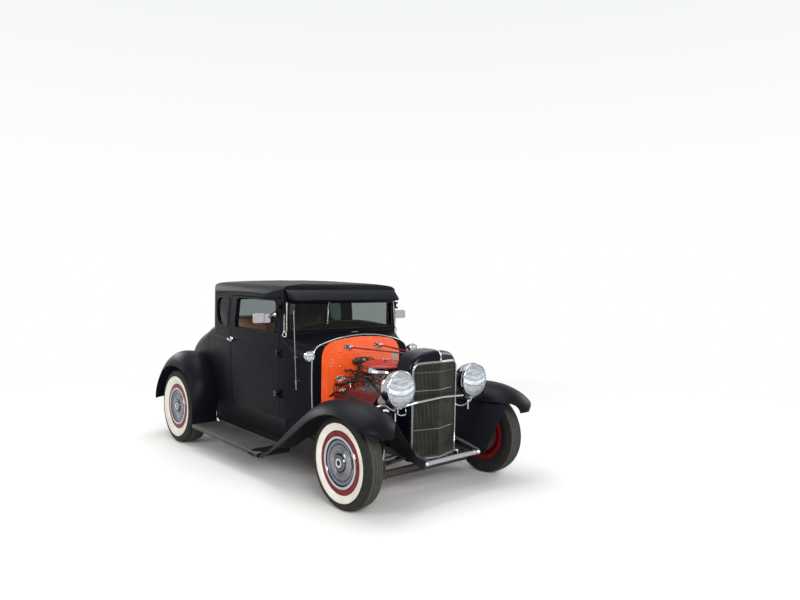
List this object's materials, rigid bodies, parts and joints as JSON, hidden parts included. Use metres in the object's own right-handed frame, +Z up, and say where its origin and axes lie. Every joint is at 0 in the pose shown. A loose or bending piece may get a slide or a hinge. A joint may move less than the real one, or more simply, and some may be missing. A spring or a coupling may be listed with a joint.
{
  "type": "hot rod coupe",
  "caption": "Closed-fender hot rod coupe with open engine bay, whitewall tyres, bright grille shell, free-standing headlamps, opening doors and deck lid, and linked steering.",
  "frame": {"origin": "on the floor under the middle of the car's length and width", "axes": "+Y points to the tail, +X to the car's left, +Z up; the front faces -Y"},
  "size_m": [1.716, 3.5941, 1.5568],
  "materials": {
    "black_paint": "satin",
    "orange_paint": "gloss",
    "red_paint": "gloss",
    "dark_red_paint": "gloss",
    "chassis_paint": "satin",
    "bright_metal": "polished",
    "grille_metal": "satin",
    "bare_steel": "satin",
    "cast_metal": "satin",
    "tyre_rubber": "matte",
    "board_cover": "matte",
    "lamp_glass": "clear",
    "window_glass": "clear",
    "seat_cover": "satin",
    "floor_cover": "matte",
    "wheel_plastic": "gloss"
  },
  "bodies": {
    "body": {"front_axle": "chassis_paint", "frame": "chassis_paint", "leaf_springs": "chassis_paint", "rear_axle": "chassis_paint", "radius_rods": "chassis_paint", "shock_absorbers": "bare_steel", "engine_block": "orange_paint", "valve_covers": "dark_red_paint", "intake": "cast_metal", "air_cleaner": "dark_red_paint", "exhaust": "bare_steel", "engine_front_drive": "bare_steel", "grille_shell": "black_paint", "grille_insert": "grille_metal", "radiator": "chassis_paint", "lamp_shells": "bright_metal", "lamp_lenses": "lamp_glass", "front_fenders": "black_paint", "rear_fenders": "black_paint", "headlight_bar": "bright_metal", "spreader_bars": "bright_metal", "support_rods": "bright_metal", "running_boards": "board_cover", "floor": "floor_cover", "seat": "seat_cover", "steering_column": "bare_steel", "aerial": "bright_metal", "firewall": "orange_paint", "windshield_frame": "black_paint", "fixed_glass": "window_glass", "sun_visor": "black_paint", "cowl": "black_paint", "rear_body": "black_paint", "roof": "black_paint"},
    "steering_wheel": {"steering_wheel": "wheel_plastic"},
    "knuckle_left": {"knuckle_left": "chassis_paint"},
    "knuckle_right": {"knuckle_right": "chassis_paint"},
    "pitman_arm": {"pitman_arm": "bare_steel"},
    "tie_rod": {"tie_rod": "bare_steel"},
    "drag_link": {"drag_link": "bare_steel"},
    "wheel_front_left": {"tyre_front_left": "tyre_rubber", "wheel_front_left": "red_paint", "hubcap_front_left": "bright_metal"},
    "wheel_front_right": {"tyre_front_right": "tyre_rubber", "wheel_front_right": "red_paint", "hubcap_front_right": "bright_metal"},
    "wheel_rear_left": {"tyre_rear_left": "tyre_rubber", "wheel_rear_left": "red_paint", "hubcap_rear_left": "bright_metal"},
    "wheel_rear_right": {"tyre_rear_right": "tyre_rubber", "wheel_rear_right": "red_paint", "hubcap_rear_right": "bright_metal"},
    "door_left": {"door_left": "black_paint"},
    "door_right": {"door_right": "black_paint"},
    "decklid": {"decklid": "black_paint"}
  },
  "joints": [
    {"name": "steering_wheel_turn", "type": "hinge", "parent": "body", "child": "steering_wheel", "pos_m": [0.35, -0.01266, 0.97851], "axis": [0, 0.8687, 0.4954], "range_deg": [-390, 390]},
    {"name": "left_kingpin", "type": "hinge", "parent": "body", "child": "knuckle_left", "pos_m": [0.6, -1.3826, 0.32], "axis": [0, 0, 1], "range_deg": [-30, 30]},
    {"name": "right_kingpin", "type": "hinge", "parent": "body", "child": "knuckle_right", "pos_m": [-0.6, -1.3826, 0.32], "axis": [0, 0, 1], "range_deg": [-30, 30]},
    {"name": "pitman_shaft", "type": "hinge", "parent": "body", "child": "pitman_arm", "pos_m": [0.23, -1.2726, 0.245], "axis": [0, 0, 1], "range_deg": [-30, 30]},
    {"name": "tie_rod_end", "type": "hinge", "parent": "knuckle_left", "child": "tie_rod", "pos_m": [0.6, -1.2926, 0.245], "axis": [0, 0, 1], "range_deg": [-30, 30]},
    {"name": "drag_link_end", "type": "hinge", "parent": "pitman_arm", "child": "drag_link", "pos_m": [0.23, -1.1426, 0.245], "axis": [0, 0, 1], "range_deg": [-30, 30]},
    {"name": "front_left_spin", "type": "hinge", "parent": "knuckle_left", "child": "wheel_front_left", "pos_m": [0.7, -1.3826, 0.32], "axis": [1, 0, 0], "continuous": true},
    {"name": "front_right_spin", "type": "hinge", "parent": "knuckle_right", "child": "wheel_front_right", "pos_m": [-0.7, -1.3826, 0.32], "axis": [1, 0, 0], "continuous": true},
    {"name": "rear_left_spin", "type": "hinge", "parent": "body", "child": "wheel_rear_left", "pos_m": [0.7, 1.2464, 0.348], "axis": [1, 0, 0], "continuous": true},
    {"name": "rear_right_spin", "type": "hinge", "parent": "body", "child": "wheel_rear_right", "pos_m": [-0.7, 1.2464, 0.348], "axis": [1, 0, 0], "continuous": true},
    {"name": "door_left_hinge", "type": "hinge", "parent": "body", "child": "door_left", "pos_m": [0.618, -0.33207, 0.63631], "axis": [0, 0.0314, -0.9995], "range_deg": [0, 65]},
    {"name": "door_right_hinge", "type": "hinge", "parent": "body", "child": "door_right", "pos_m": [-0.618, -0.33207, 0.63631], "axis": [0, -0.0314, 0.9995], "range_deg": [0, 65]},
    {"name": "decklid_hinge", "type": "hinge", "parent": "body", "child": "decklid", "pos_m": [0, 1.03249, 1.14943], "axis": [1, 0, 0], "range_deg": [0, 55]}
  ],
  "couplings": [
    {"joint": "left_kingpin", "follows": "steering_wheel_turn", "ratio": 0.076923},
    {"joint": "right_kingpin", "follows": "steering_wheel_turn", "ratio": 0.076923},
    {"joint": "pitman_shaft", "follows": "steering_wheel_turn", "ratio": 0.076923},
    {"joint": "tie_rod_end", "follows": "steering_wheel_turn", "ratio": -0.076923},
    {"joint": "drag_link_end", "follows": "steering_wheel_turn", "ratio": -0.076923}
  ]
}
